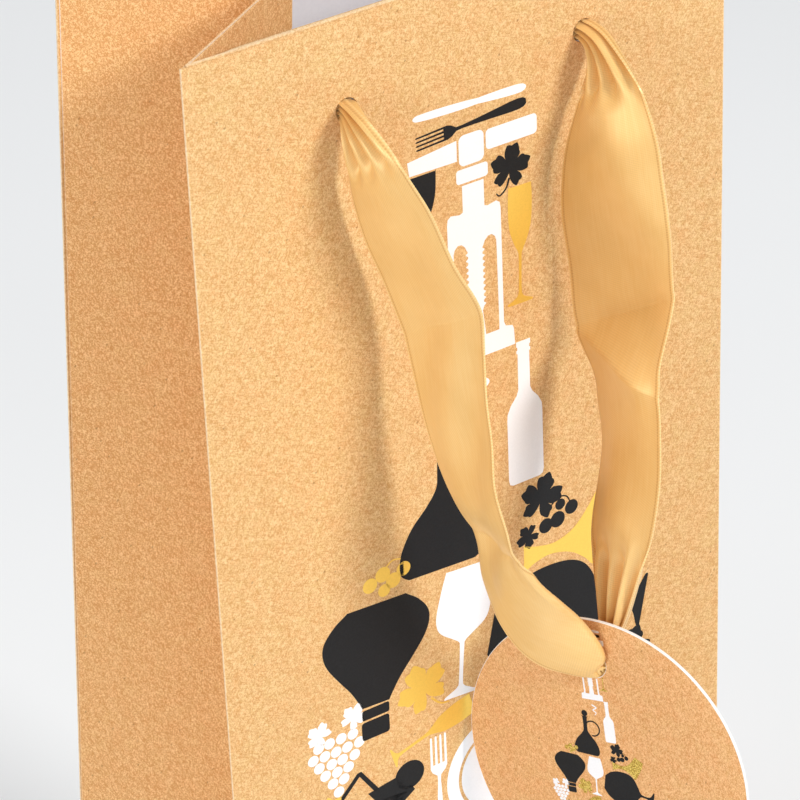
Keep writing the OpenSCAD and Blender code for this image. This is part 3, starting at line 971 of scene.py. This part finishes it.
def fork(length=27.0, w=1.55, tine=6.8):
    """Fork with its tines at 0 and its handle along y."""
    g = w * 2 / 7.0
    left = -w
    pts = []
    for k in range(4):
        x0 = left + k * 2 * g
        pts += [(x0, tine), (x0 + 0.05, 0.3), (x0 + g / 2, 0.0), (x0 + g - 0.05, 0.3), (x0 + g, tine)]
    body = [(w, tine), (w, tine + 0.9), (w * 0.78, tine + 1.9), (0.42, tine + 3.0), (0.36, tine + 4.5)]
    tail_ = [(0.55, tine + 8), (0.85, length - 8), (1.15, length - 4.2), (1.22, length - 2.0),
             (1.0, length - 0.7),
             (0.5, length - 0.1)]
    right = body + tail_
    return np.array(pts + right + [(-a, b) for a, b in right[::-1]])


KNIFE = turned([(0, 0), (0.35, 0.45), (1.6, 0.72), (6, 0.86), (12, 0.8), (15.2, 0.62), (17, 0.72),
                (22, 0.95), (25.6, 0.92), (26.8, 0.5), (27.1, 0)])
FLUTE = turned([(0, 2.75), (0.3, 2.78), (4, 2.95), (9, 2.65), (12.5, 1.55), (14.6, 0.55), (16, 0.36),
                (22.5, 0.34), (24.4, 0.6), (25.2, 1.6), (25.8, 3.0), (26.1, 3.1), (26.3, 2.9)])
GOBLET = turned([(0, 4.6), (0.2, 4.7), (4, 5.7), (9, 6.7), (12, 6.75), (14.5, 5.6), (16.8, 2.4),
                 (18.0, 0.85), (19.5, 0.55), (27.6, 0.5), (29.2, 0.9), (30.2, 2.5), (31, 4.0),
                 (31.5, 4.1)])
BOTTLE = turned([(0, 1.5), (0, 1.75), (1.1, 1.75), (1.3, 1.5), (1.9, 1.5), (2.0, 1.75), (2.6, 1.75),
                 (2.8, 1.45), (11.2, 1.5), (12.4, 2.0), (14.2, 3.5), (16.0, 4.35), (17.5, 4.45),
                 (31.6, 4.45), (32.7, 4.2), (33.1, 3.4)], 4, False)
CARAFE = turned([(0, 2.4), (0.3, 2.6), (1.4, 1.9), (8.5, 1.6), (12, 1.9), (15.5, 4.2), (19.5, 7.8),
                 (24, 10.1), (27.4, 10.7), (30, 10.2), (31.3, 8.6), (31.5, 8.0)])
BALLOON = turned([(0, 7.4), (0.3, 7.7), (2.4, 10.6), (5.5, 13.0), (8.6, 13.4), (12, 12.2), (16, 9.4),
                  (20, 6.3), (23.5, 4.2), (25.0, 3.45)])
SNIFTER = turned([(0, 5.4), (0.2, 5.6), (4, 9.6), (10, 12.4), (17, 13.2), (22, 11.4), (26, 6.4),
                  (28.4, 2.2), (30.2, 0.9), (34.2, 0.8), (36.8, 2.0), (38.6, 5.6), (39.2, 6.2),
                  (39.6, 6.1)])
JUG = turned([(0, 3.0), (0.4, 3.2), (1.6, 2.2), (4.5, 2.3), (7.5, 5.0), (11.5, 7.8), (16, 8.6),
              (19.5, 7.6), (21.4, 5.4), (21.8, 5.0)])


def ring(x, y, r0, r1, n=72, a0=0, a1=360):
    """Ring in two halves, so that each is one simple outline."""
    out = []
    for u, v in ((a0, (a0 + a1) / 2), ((a0 + a1) / 2, a1)):
        a = np.radians(np.linspace(u, v, n // 2 + 1))
        out.append(np.concatenate([np.stack([x + r1 * np.cos(a), y + r1 * np.sin(a)], -1),
                                   np.stack([x + r0 * np.cos(a), y + r0 * np.sin(a)], -1)[::-1]]))
    return out


def screw_body():
    """Bell of the corkscrew: shoulders, two side bars, toothed worm between them, foot plate."""
    teeth = []
    y = 58.6
    while y < 72:
        teeth += [(1.75, y), (2.35, y + 0.45), (1.75, y + 0.95)]
        y += 1.35
    arch = [(5.2, 58.0), (4.9, 57.0), (4.1, 56.3), (3.2, 56.4), (2.4, 57.2), (2.05, 58.0)]
    # right half: bell with its bar and the worm, and the foot; each a simple outline
    bell = [(0, 43.6), (2.6, 43.6), (2.6, 49.4), (3.4, 49.7), (5.5, 49.3), (6.3, 49.9), (6.5, 51.2),
            (6.5, 77.0),
            (5.35, 77.0), (5.25, 60)] + arch + teeth + [(1.4, 72.6), (1.9, 77.0), (0, 77.0)]
    foot_ = [(0, 77.0), (1.9, 77.0), (2.0, 78.3), (5.3, 78.3), (5.35, 77.0), (6.5, 77.0), (6.9, 78.0),
             (8.6, 78.5),
             (8.9, 79.3), (9.1, 83.0), (0, 83.0)]
    out = []
    for h in (bell, foot_):
        h = np.array(h)
        out += [h + [0.5, 0], h * [-1, 1] + [0.5, 0]]
    return out


def decor():
    """The whole print: silhouettes of table and wine things, listed by colour."""
    B, W, G = [], [], []
    W.append(axis(KNIFE, (-13.2, 25.9), (13.9, 26.8), length=27.1))
    B.append(axis(fork(), (-12.7, 31.4), (13.9, 29.9), length=27))
    W.append(np.array([(-14.8, 34.6), (-3.1, 33.4), (-3.1, 37.9), (-14.4, 37.7)]))
    W.append(rrect(3.9, 33.2, 16.3, 37.6, 0.9))
    W.append(rrect(-2.6, 32.7, 3.4, 39.4, 1.3))
    W.append(rrect(-3.4, 40.0, 4.2, 43.1, 0.7))
    W += screw_body()
    W.append(stalk([(0.6, 83.0), (2.5, 84.6), (-0.9, 86.9), (2.5, 89.2), (-0.6, 91.4), (1.9, 93.4),
                    (0.5, 95.4)], 1.3, 0.5))
    B.append(turned([(0, 4.5), (0.2, 4.6), (5, 4.3), (9, 3.0), (11.5, 1.0), (12.6, 0.4), (20, 0.4),
                     (21, 1.6), (21.6, 3.4),
                     (22, 3.4)]) + [-12.8, 38.2])
    B.append(put(leaf(4.9, 12, 0.3), 9.5, 43.4))
    B.append(stalk([(9.3, 45.4), (8.5, 47.4), (6.9, 48.6), (6.1, 47.9)], 0.5, 0.25))
    G.append(axis(FLUTE, (11.8, 47.8), (11.2, 74.2), length=26.3))
    W.append(axis(BOTTLE, (11.6, 82.9), (11.5, 116.1), length=33.1))
    # leaf and berries right of the bottle
    B.append(put(leaf(5.6, 20, 0.8), 15.0, 122.2))
    B += [disc(22.9, 126.9, 1.7), disc(19.2, 128.6, 1.9), disc(16.1, 129.0, 1.75), disc(20.0, 125.2, 1.3)]
    B.append(stalk([(17.0, 125.2), (19.4, 123.4), (21.6, 123.8), (22.6, 125.6)], 0.35, 0.3))
    B.append(put(leaf(3.0, -110, 0.1), 11.7, 129.8))
    G.append(np.concatenate([cr([(10.3, 131.9), (13.9, 133.2), (18.4, 133.9), (23.2, 132.4), (27.2, 128.6),
                                 (30.2, 124.6)], 6),
                             cr([(36.8, 128.6), (35.0, 133.4), (31.4, 139.4), (28.6, 143.3), (26.0, 140.7),
                                 (22.3, 137.9),
                                 (17.3, 136.4), (13.1, 137.0), (10.2, 138.5)], 6)]))
    B.append(axis(SNIFTER, (1.4, 149.6), (42.1, 158.2), length=39.6))
    B.append(put(CARAFE, -8.8, 97.6, 3))
    B.append(disc(-8.5, 95.2, 2.5))
    B += ring(-3.3, 107.0, 5.4, 6.5, 48, -150, 100)
    # gold berries on a twig
    G += [disc(-28.3, 126.2, 1.75), disc(-25.1, 124.7, 1.8), disc(-22.6, 127.0, 1.8),
          disc(-20.0, 125.2, 1.7),
          disc(-24.9, 128.6, 1.5)]
    G.append(stalk([(-20.6, 122.6), (-22.6, 122.2), (-24.4, 123.4)], 0.35, 0.3))
    B.append(axis(BALLOON, (-26.9, 131.0), (-28.2, 155.6), length=25.0))
    B.append(rrect(-31.7, 156.1, -24.9, 158.6, 0.5))
    B.append(rrect(-31.9, 159.1, -25.0, 163.6, 0.7))
    W.append(axis(GOBLET, (-4.9, 130.9), (-7.0, 162.3), length=31.5))
    G.append(put(leaf(6.4, -25, 0.5), -16.2, 157.0))
    G.append(stalk([(-14.4, 159.8), (-12.2, 162.0), (-9.9, 162.6)], 0.55, 0.3))
    cordial = turned([(0, 2.5), (0.3, 2.6), (4, 2.75), (8, 2.2), (10.6, 1.0), (12.6, 0.45), (18.6, 0.4),
                      (20.2, 0.9), (20.9, 2.5), (21.3, 2.5)])
    G.append(axis(cordial, (-4.1, 165.3), (-24.6, 171.2), length=21.3))
    W += bunch(-38.4, 160.6, (4, 5, 4, 3, 2, 1), 1.32, 0.22)
    W.append(put(leaf(3.3, 40, 0.2), -34.0, 156.6))
    W.append(put(leaf(3.1, -50, 0.6), -42.2, 157.6))
    W.append(put(fork(30, 2.1, 7.4), -13.1, 170.0))
    W += ring(3.0, 184.6, 11.2, 14.2)
    W.append(disc(3.0, 184.6, 10.4, 60))
    B.append(put(JUG, -24.4, 180.6, 4, 0.92))
    B.append(put(disc(0, 0, 3.7, 36, 0.95), -20.6, 177.0))
    B.append(np.array([(-31.2, 177.3), (-27.0, 176.6), (-22.4, 176.0), (-19.4, 181.2), (-22.4, 183.2),
                       (-27.6, 182.6)]))
    B.append(np.array([(-28.6, 176.8), (-32.6, 170.9), (-33.6, 171.0), (-39.8, 177.2), (-36.6, 188.6),
                       (-31.6, 190.8),
                       (-31.9, 189.7), (-35.8, 187.8), (-38.6, 177.5), (-33.1, 172.0), (-29.4, 177.6)]))
    G.append(axis(FLUTE, (28.4, 164.0), (24.4, 189.8), length=26.3))
    B.append(put(leaf(6.2, 25, 0.9), 37.6, 170.4))
    B.append(stalk([(36.4, 173.4), (34.6, 176.2), (32.4, 176.8)], 0.55, 0.3))
    W += bunch(37.8, 180.4, (3, 4, 3, 2, 1), 1.4, 0.24, 4)
    # lower rows
    G += bunch(-40.6, 181.6, (3, 4, 3, 2, 1), 1.4, 0.24, 7)
    G.append(put(leaf(3.2, -20, 0.3), -40.4, 177.4))
    W.append(put(GOBLET, -38.4, 198.4, 0, 0.98))
    B.append(put(BOTTLE, -24.2, 206.4, 0, 1.02))
    G.append(put(leaf(6.6, 15, 0.1), -11.4, 209.0))
    G.append(stalk([(-12.4, 212.4), (-13.6, 215.2), (-15.8, 215.8)], 0.55, 0.3))
    B.append(put(GOBLET, 1.2, 203.0, 0, 1.05))
    W.append(put(CARAFE, 19.4, 199.6, 0, 0.86))
    G.append(put(BOTTLE, 36.6, 197.2, 0, 1.0))
    W += bunch(-9.8, 220.6, (4, 3, 2, 1), 1.5, 0.24, 5)
    B.append(put(KNIFE, 8.4, 239.8, 90, 0.9) + [3.4, 0])
    G += bunch(15.6, 228.4, (4, 3), 1.5, 0.24, 6)
    W.append(put(leaf(5.0, -10, 0.2), 27.8, 229.6))
    return {"black": B, "white": W, "gold": G}


def clean(poly):
    p = np.asarray(poly, float)
    keep = [i for i in range(len(p)) if np.linalg.norm(p[i] - p[i - 1]) > 0.02]
    p = p[keep]
    a = 0.5 * np.sum(p[:, 0] * np.roll(p[:, 1], -1) - np.roll(p[:, 0], -1) * p[:, 1])
    return p if a > 0 else p[::-1]


def printed(name, polys, place, lift, mat, grid=4.0, back_=0.02, hole=None):
    """Thin ink plates: outlines cut along a grid so that they follow the paper, then given a thickness.
    hole is x, y, radius of a disc left free of ink."""
    import bmesh
    bm = bmesh.new()
    for poly in polys:
        p = clean(poly)
        tri_ = tessellate_polygon([[Vector((x, y, 0)) for x, y in p]])
        vs = [bm.verts.new((x, y, 0)) for x, y in p]
        for t in tri_:
            a, b, c = (p[i] for i in t)
            ar = (b[0] - a[0]) * (c[1] - a[1]) - (b[1] - a[1]) * (c[0] - a[0])
            if abs(ar) < 1e-7:
                continue
            try:
                bm.faces.new([vs[i] for i in (t if ar > 0 else t[::-1])])
            except ValueError:
                pass
    allp = np.concatenate([np.asarray(p) for p in polys])
    for ax in (0, 1):
        g = math.floor(allp[:, ax].min() / grid) * grid + 0.013
        while g < allp[:, ax].max():
            co_, no_ = [0, 0, 0], [0, 0, 0]
            co_[ax], no_[ax] = g, 1
            bmesh.ops.bisect_plane(bm, geom=bm.verts[:] + bm.edges[:] + bm.faces[:], dist=1e-5,
                                   plane_co=co_, plane_no=no_)
            g += grid
    if hole:
        hx, hy, hr = hole
        for i in range(28):
            a = 2 * math.pi * i / 28
            near = [f for f in bm.faces
                    if any(math.hypot(v.co.x - hx, v.co.y - hy) < hr * 1.25 for v in f.verts)
                    or math.hypot(f.calc_center_median().x - hx, f.calc_center_median().y - hy) < hr]
            ed = {e for f in near for e in f.edges}
            vt = {v for f in near for v in f.verts}
            bmesh.ops.bisect_plane(bm, geom=list(vt) + list(ed) + near, dist=1e-5,
                                   plane_co=(hx + hr * math.cos(a), hy + hr * math.sin(a), 0),
                                   plane_no=(math.cos(a), math.sin(a), 0))
        gone = [f for f in bm.faces
                if math.hypot(f.calc_center_median().x - hx, f.calc_center_median().y - hy) < hr * 0.995]
        bmesh.ops.delete(bm, geom=gone, context="FACES")
    loose = [v for v in bm.verts if not v.link_faces]
    bmesh.ops.delete(bm, geom=loose, context="VERTS")
    bm.verts.index_update()
    P = np.array([v.co[:2] for v in bm.verts])
    F = [[v.index for v in f.verts] for f in bm.faces]
    E = [(l.vert.index, l.link_loop_next.vert.index) for f in bm.faces for l in f.loops if l.edge.is_boundary]
    bm.free()
    top, bot = place(P, lift), place(P, -back_)
    n = len(P)
    a, b, c = top[F[0][0]], top[F[0][1]], top[F[0][2]]
    outward = np.cross(b - a, c - a) @ (top[F[0][0]] - bot[F[0][0]]) > 0
    faces = []
    for f in F:
        faces.append(f if outward else f[::-1])
        faces.append([i + n for i in (f[::-1] if outward else f)])
    for i, j in E:
        q_ = (i, i + n, j + n, j)
        faces.append(q_ if outward else q_[::-1])
    ob = make(name, np.concatenate([top, bot]), faces, [mat], None, False)
    return ob


DECOR = decor()
for q, qn, body in PANELS:
    for col, mat in (("black", M_BLACK), ("white", M_WINK), ("gold", M_GOLD)):
        def on_panel(P, out, q=q):
            x = P[:, 0] * (-q)                     # the back reads the right way round too
            return pp(np.stack([x, bow(x, P[:, 1]) + out, P[:, 1]], -1), q)
        pr = printed("print_%s_%s" % (qn, col), DECOR[col], on_panel, 0.035, mat)
        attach(pr, body)
TAG_S, TAG_X, TAG_Y = 0.285, 4.5, 135.4      # the tag shows the panel's print smaller, about this point
for col, mat in (("black", M_BLACK), ("white", M_WINK), ("gold", M_GLITTER)):
    def on_tag(P, out):
        x, y = (P[:, 0] - TAG_X) * TAG_S, (P[:, 1] - TAG_Y) * TAG_S
        return np.array([tagpt(a, -TAG_T / 2 - out, TAG_DROP - TAG_R - b) for a, b in zip(x, y)])
    pr = printed("print_tag_" + col, DECOR[col], on_tag, 0.03 if col != "gold" else 0.06, mat, 12.0,
                 hole=(TAG_X, TAG_Y - (TAG_R - TAG_DROP) / TAG_S, (TAG_HR + 0.3) / TAG_S))
    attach(pr, "tag")

# ---------------------------------------------------------------- room, light, camera
fm_ = Nodes("floor_paper")
fm_.color(fm_.mix(fm_.ramp(fm_.noise(fm_.coords((3, 3, 3)), 1.0, 2), 0.3, 0.7), (0.86, 0.87, 0.88, 1),
                  (0.88, 0.89, 0.90, 1)))
fm_.set(Roughness=0.9, Specular_IOR_Level=0.1)
bpy.ops.mesh.primitive_plane_add(size=12, location=(0, 2, -0.0005))
floor = bpy.context.object
floor.name = "floor"
floor.data.materials.append(fm_.m)

world = bpy.data.worlds.new("studio")
bpy.context.scene.world = world
world.use_nodes = True
world.node_tree.nodes["Background"].inputs[0].default_value = (0.97, 0.985, 1.0, 1)
world.node_tree.nodes["Background"].inputs[1].default_value = 0.485


def area(name, loc, target, size, power, col=(1, 1, 1)):
    d = bpy.data.lights.new(name, "AREA")
    d.shape, d.size, d.energy, d.color = "DISK", size, power, col
    o = bpy.data.objects.new(name, d)
    bpy.context.scene.collection.objects.link(o)
    o.location = loc
    o.rotation_euler = (Vector(target) - Vector(loc)).to_track_quat("-Z", "Y").to_euler()
    return o


area("key", (0.42, -1.15, 1.2), (0, 0, 0.2), 0.42, 15.8, (1.0, 0.985, 0.96))
area("fill", (-1.6, -0.45, 0.7), (0, 0, 0.2), 0.9, 11.5, (0.97, 0.985, 1.0))
area("top", (0.1, 0.7, 1.7), (0, 0, 0.1), 1.2, 6)

cam = bpy.data.cameras.new("camera")
cam.sensor_width, cam.lens = 36, 165.4
cam.clip_start, cam.clip_end = 0.05, 50
co = bpy.data.objects.new("camera", cam)
bpy.context.scene.collection.objects.link(co)
CAM_AT = (-0.368, -0.531, 0.664)
az, el, roll = math.radians(34.74), math.radians(33.12), math.radians(-0.28)
F = Vector((math.sin(az) * math.cos(el), math.cos(az) * math.cos(el), -math.sin(el)))
R = Vector((math.cos(az), -math.sin(az), 0))
Uv = R.cross(F)
R, Uv = R * math.cos(roll) + Uv * math.sin(roll), Uv * math.cos(roll) - R * math.sin(roll)
co.matrix_world = Matrix([(R[i], Uv[i], -F[i], CAM_AT[i]) for i in range(3)] + [(0, 0, 0, 1)])
bpy.context.scene.camera = co
bpy.context.scene.view_settings.view_transform = "Standard"
